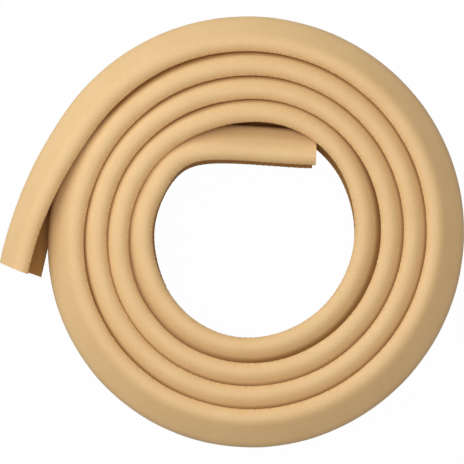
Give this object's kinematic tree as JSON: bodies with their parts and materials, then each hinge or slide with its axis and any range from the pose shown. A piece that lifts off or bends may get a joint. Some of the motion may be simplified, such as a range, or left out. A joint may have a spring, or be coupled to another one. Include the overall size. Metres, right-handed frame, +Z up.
{
  "type": "edge protector strip",
  "caption": "Soft foam L-section strip, wound flat in nested turns, that cushions the sharp edge of a table, shelf or counter.",
  "frame": {"origin": "centre of the underside of the coil's bounding box, on the ground it lies on", "axes": "+Z up, square to the flat of the coil; +X along the coil's longest side, to the right in a view from above; +Y up the page in that view, towards the side where the inner end lies across the hole"},
  "size_m": [0.213, 0.1982, 0.0284],
  "materials": {
    "foam": "matte tan closed-cell foam with a soft skin"
  },
  "bodies": {
    "root": {"edge_strip": "foam"}
  },
  "joints": []
}
